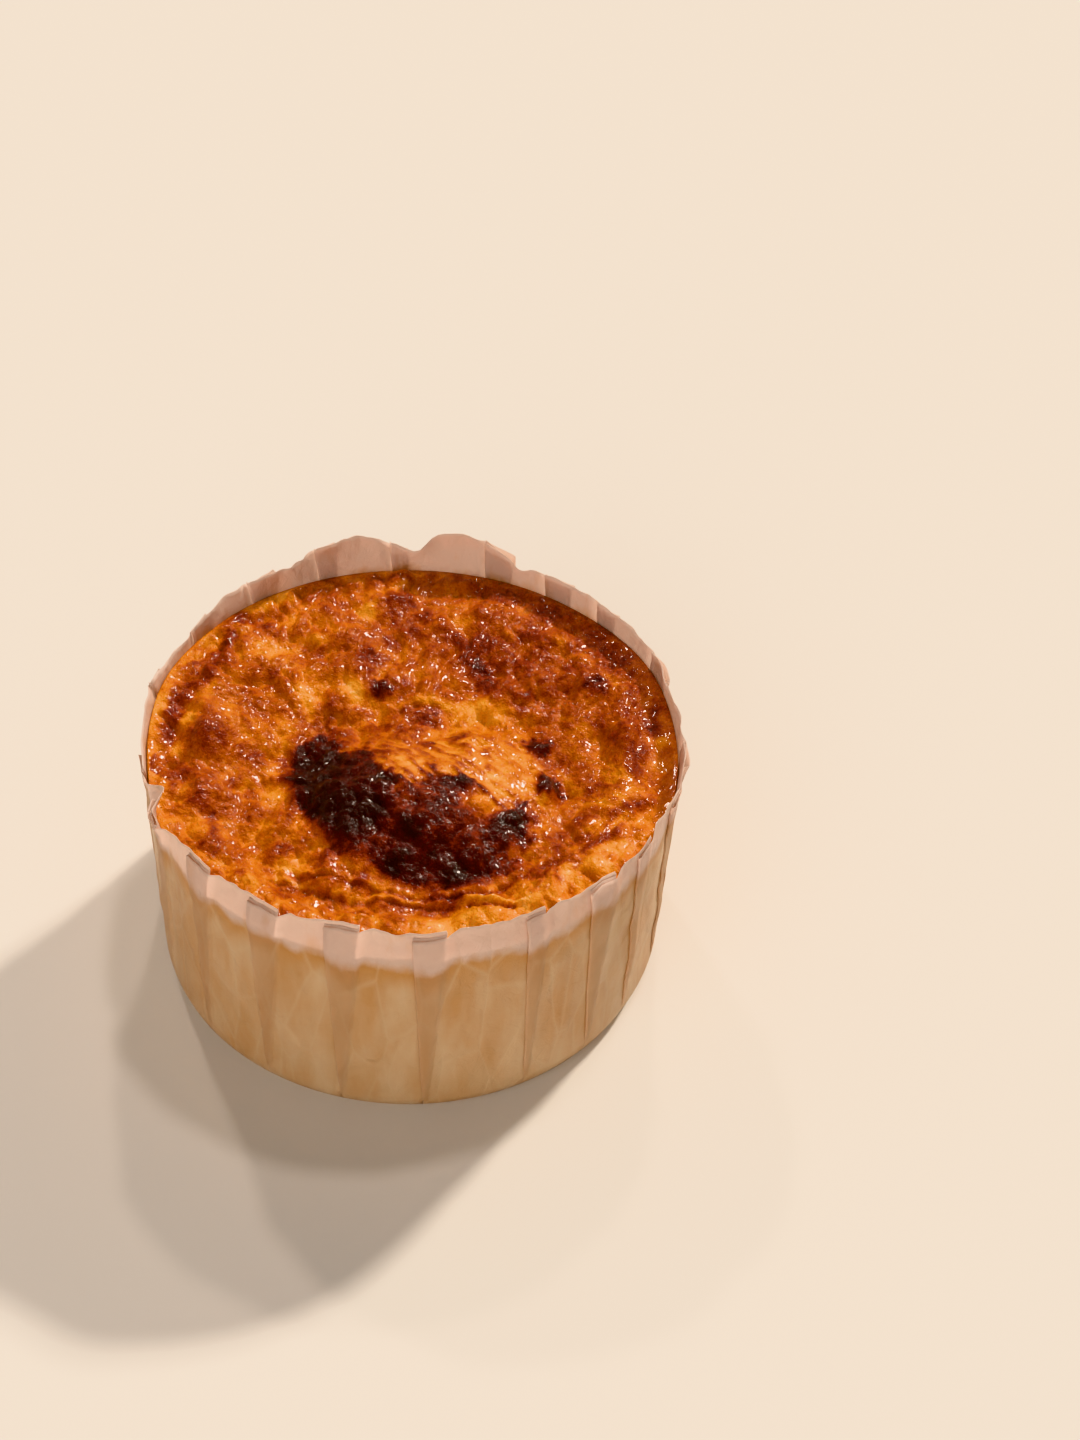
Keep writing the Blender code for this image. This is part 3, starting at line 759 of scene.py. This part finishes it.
def paperPoint(direction, outward, share, layer, seed):
    # a point of the paper's wall, in mm
    turn = math.radians(direction)
    facing = Vector((math.cos(turn), math.sin(turn), 0.0))
    foot = crust["footRounding"] + paper["gap"] + paper["thickness"]
    top = float(paperTop(apart(direction, 0.0)))
    up, out = humps(direction)
    top += 0.6 * noise.noise(facing * 7.0) + 0.3 * noise.noise(facing * 23.0) + 0.6 - 1.7 * layer + up
    level = foot + share * (top - foot)
    above = level - cakeFoot
    radius = float(cakeRadius(apart(direction, 0.0))) - crust["narrower"] * max(0.0, 1.0 - above / 52.0)
    free = float(ease(53.5, 59.5, level))
    around = facing * 57.5
    creased = noise.turbulence(Vector((around.x / 9.0, around.y / 9.0, level / 15.0)), 2, True) - 0.5
    atCakeEdge = math.exp(-(((level - 53.0) / 5.0) ** 2))
    radius += 0.8 * creased * float(ease(0.02, 0.25, share)) * (1.0 - 0.8 * atCakeEdge)
    waves = noise.noise(Vector((around.x / 11.0, around.y / 11.0, level / 26.0)))
    facets = noise.turbulence(Vector((around.x / 4.5, around.y / 4.5, level / 6.0)), 1, True) - 0.3
    crumpled = 1.0 + 1.2 * math.exp(-((apart(direction, 108.0) / 22.0) ** 2))
    radius += free * (1.2 * waves + 0.8 * crumpled * facets + out)
    radius += 0.8 * free * facing.y + paper["gap"] + 0.24 + outward
    return radius * facing.x, radius * facing.y, level


def makePaper():
    rows = paper["rows"]
    columns = [len(pleatSection(index, 0.5)) for index in range(len(paper["pleats"]))]
    total = sum(columns)
    mesh = bmesh.new()
    layers = mesh.verts.layers.float.new("layers")
    soak = mesh.verts.layers.float.new("soak")
    bmesh.ops.create_grid(mesh, x_segments=total, y_segments=rows, size=0.5)
    vertices = list(mesh.verts)
    shares = [(row / rows) ** 0.9 for row in range(rows + 1)]
    for row, share in enumerate(shares):
        section = [point for index in range(len(paper["pleats"])) for point in pleatSection(index, share)]
        for column in range(total + 1):
            direction, outward, layer = section[column % total]
            vertex = vertices[row * (total + 1) + column]
            x, y, z = paperPoint(direction, outward, share, layer, 0.0)
            vertex.co = (x * mm, y * mm, z * mm)
            vertex[layers] = layer
            edge = 52.2 + 4.0 * noise.noise(Vector((x * 0.13, y * 0.13, 5.0)))
            vertex[soak] = 1.0 - float(ease(edge - 11.0, edge + 2.0, z))
    bmesh.ops.remove_doubles(mesh, verts=mesh.verts, dist=0.02 * mm)
    rim = [edge for edge in mesh.edges if edge.is_boundary and edge.verts[0].co.z < 8.0 * mm]
    rounding = crust["footRounding"]
    for bend in (30.0, 60.0, 90.0):
        made = bmesh.ops.extrude_edge_only(mesh, edges=rim)["geom"]
        rim = [item for item in made if isinstance(item, bmesh.types.BMEdge)]
        for vertex in (item for item in made if isinstance(item, bmesh.types.BMVert)):
            turn = math.radians(bend)
            wall = float(cakeRadius(math.degrees(math.atan2(vertex.co.y, vertex.co.x)))) - crust["narrower"]
            reach = wall - rounding + (rounding + paper["gap"] + 0.25) * math.cos(turn)
            level = paper["thickness"] + (rounding + paper["gap"]) * (1.0 - math.sin(turn))
            flat = Vector((vertex.co.x, vertex.co.y, 0.0)).normalized() * reach * mm
            vertex.co = (flat.x, flat.y, level * mm)
            vertex[soak] = 1.0
            vertex[layers] = 0.0
    for inset in (0.7, 0.35):
        made = bmesh.ops.extrude_edge_only(mesh, edges=rim)["geom"]
        rim = [item for item in made if isinstance(item, bmesh.types.BMEdge)]
        ring = [item for item in made if isinstance(item, bmesh.types.BMVert)]
        reach = sum(vertex.co.to_2d().length for vertex in ring) / len(ring)
        for vertex in ring:
            flat = Vector((vertex.co.x, vertex.co.y, 0.0)).normalized() * reach * (inset if inset > 0.5 else 0.5)
            vertex.co = (flat.x, flat.y, vertex.co.z)
    bmesh.ops.contextual_create(mesh, geom=rim)
    bmesh.ops.recalc_face_normals(mesh, faces=mesh.faces)
    piece = addPiece("bakingPaper", mesh, makePaperFinish())
    wall = piece.modifiers.new("thickness", "SOLIDIFY")
    wall.thickness = paper["thickness"] * mm
    wall.offset = 1.0
    return piece


paperLooks = {
    "dry": (234, 210, 196),
    "flap": (250, 234, 224),
    "soaked": (214, 168, 118),
    "soakedPale": (236, 210, 174),
    "amber": (216, 164, 108),
}


def makePaperFinish():
    finish = Finish("bakingPaper")
    place = finish.add("ShaderNodeTexCoord", output="Object")
    layer = finish.add("ShaderNodeAttribute", {"attribute_name": "layers"}, output="Fac")
    soak = finish.add("ShaderNodeAttribute", {"attribute_name": "soak"}, output="Fac")
    drawn = finish.add("ShaderNodeMapping", {}, {"Vector": place, "Scale": (1.0, 1.0, 0.3)})
    cloudy = finish.noise(drawn, 120.0, 5.0, 0.6)
    fibre = finish.noise(place, 900.0, 3.0, 0.6)
    tone = {name: (*plainColour(*colour), 1.0) for name, colour in paperLooks.items()}
    # the flap is whiter where the paper lies in layers; the whitest colour at the free fold, layer 1.2, is a painted
    # highlight along the fold edge
    dry = finish.blend(layer, tone["dry"], tone["flap"])
    folds = finish.add("ShaderNodeTexVoronoi", {"feature": "DISTANCE_TO_EDGE"}, {"Vector": drawn, "Scale": 130.0})
    # butter shows strongest just under the cake's edge, and least along the creases
    patchy = finish.add("ShaderNodeMapRange", {}, {"Value": cloudy, "From Min": 0.28, "From Max": 0.74})
    wet = finish.blend(patchy, tone["soaked"], tone["soakedPale"])
    ragged = finish.noise(drawn, 260.0, 4.0, 0.6)
    soak = soak + (ragged - 0.5) * 0.5 + (cloudy - 0.5) * 0.5
    upper = finish.add("ShaderNodeMapRange", {}, {"Value": soak, "From Min": 0.35, "From Max": 1.0})
    wet = finish.blend(upper, tone["amber"], wet)
    started = finish.add("ShaderNodeMapRange", {}, {"Value": soak, "From Min": 0.04, "From Max": 0.3})
    layered = finish.blend(layer * 0.35, wet, tone["soakedPale"])
    lifted = finish.add("ShaderNodeMapRange", {}, {
        "Value": folds, "From Min": 0.0, "From Max": 0.05, "To Min": 0.4, "To Max": 0.0,
    })
    layered = finish.blend(lifted, layered, tone["soakedPale"])
    colour = finish.blend(started, dry, layered)
    crinkle = finish.noise(place, 260.0, 4.0, 0.6, 1.2)
    crease = finish.add("ShaderNodeMapRange", {}, {"Value": folds, "From Min": 0.0, "From Max": 0.12})
    normal = finish.bump(crinkle, 0.6, 0.0007)
    normal = finish.bump(crease, 0.35, 0.00035, normal)
    sheen = 0.42 + (fibre - 0.5) * 0.1 - soak * 0.08
    values = {"Base Color": colour, "Roughness": sheen, "Normal": normal, "Specular IOR Level": 0.5}
    skin = finish.add("ShaderNodeBsdfPrincipled", {}, values)
    glow = finish.add("ShaderNodeBsdfTranslucent", {}, {"Color": tone["flap"]})
    return finish.close(finish.add("ShaderNodeMixShader", {}, {0: 0.34 + layer * 0.26, 1: skin, 2: glow}))


# The pieces

cake = makeCake()
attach(cake, "root")
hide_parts("cheesecake")
print("the cake is made:", len(cake.data.polygons), "faces")

case = makePaper()
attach(case, "root")
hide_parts("baking_paper")
print("the paper is made:", len(case.data.polygons), "faces")

# Floor, light and colours of the picture

studio = {
    "floor": (238, 234, 228),
    "floorSize": 40.0,
    "sky": (255, 237, 213),
    "horizon": 0.92,  # brightness of the room low down, and overhead
    "overhead": 0.06,
    # name, direction, elevation, how wide it looks in degrees, strength, colour
    "lamps": (
        ("key", 50.0, 38.0, 5.0, 3.2, (255, 240, 222)),
        ("glintLeft", 113.0, 42.0, 3.5, 0.6, (255, 236, 220)),
        ("glintBack", 84.0, 48.0, 3.5, 0.45, (255, 236, 220)),
        ("overhead", 55.0, 73.0, 5.0, 0.5, (255, 240, 230)),
        ("fill", -112.0, 34.0, 50.0, 1.35, (255, 243, 230)),
    ),
}


def makeFloor():
    mesh = bmesh.new()
    bmesh.ops.create_grid(mesh, x_segments=1, y_segments=1, size=studio["floorSize"])
    finish = Finish("paleFloor")
    place = finish.add("ShaderNodeTexCoord", output="Object")
    cloudy = finish.noise(place, 3.0, 2.0)
    tone = plainColour(*studio["floor"])
    colour = finish.blend(cloudy, (*tone, 1.0), (*(part * 0.97 for part in tone), 1.0))
    values = {"Base Color": colour, "Roughness": 0.9}
    floor = addPiece("paleFloor", mesh, finish.close(finish.add("ShaderNodeBsdfPrincipled", {}, values)))


def makeLights():
    for name, direction, elevation, width, strength, colour in studio["lamps"]:
        turn, rise = math.radians(direction), math.radians(elevation)
        ray = Vector((math.cos(turn) * math.cos(rise), math.sin(turn) * math.cos(rise), math.sin(rise)))
        lamp = bpy.data.objects.new(name, bpy.data.lights.new(name, "SUN"))
        lamp.data.angle = math.radians(width)
        lamp.data.energy = strength
        lamp.data.color = plainColour(*colour)
        lamp.visible_glossy = name != "fill"  # the room's soft light shows no mirror image
        lamp.matrix_world = Matrix.Translation(ray) @ ray.to_track_quat("Z", "Y").to_matrix().to_4x4()
        bpy.context.scene.collection.objects.link(lamp)


def makeRoom():
    # a pale room that is bright low down and dim overhead
    room = bpy.data.worlds.new("softRoom")
    room.use_nodes = True
    nodes, links = room.node_tree.nodes, room.node_tree.links
    background = nodes["Background"]
    background.inputs["Color"].default_value = (*plainColour(*studio["sky"]), 1.0)
    place = nodes.new("ShaderNodeTexCoord")
    parts = nodes.new("ShaderNodeSeparateXYZ")
    fade = nodes.new("ShaderNodeMapRange")
    fade.interpolation_type = "SMOOTHSTEP"
    for socket, value in (("From Min", 0.06), ("From Max", 0.24), ("To Min", studio["horizon"]),
                          ("To Max", studio["overhead"])):
        fade.inputs[socket].default_value = value
    links.new(place.outputs["Generated"], parts.inputs[0])
    links.new(parts.outputs["Z"], fade.inputs["Value"])
    links.new(fade.outputs["Result"], background.inputs["Strength"])
    bpy.context.scene.world = room
    bpy.context.scene.view_settings.view_transform = "Khronos PBR Neutral"


makeFloor()
makeLights()
makeRoom()
print("floor and lights are placed")
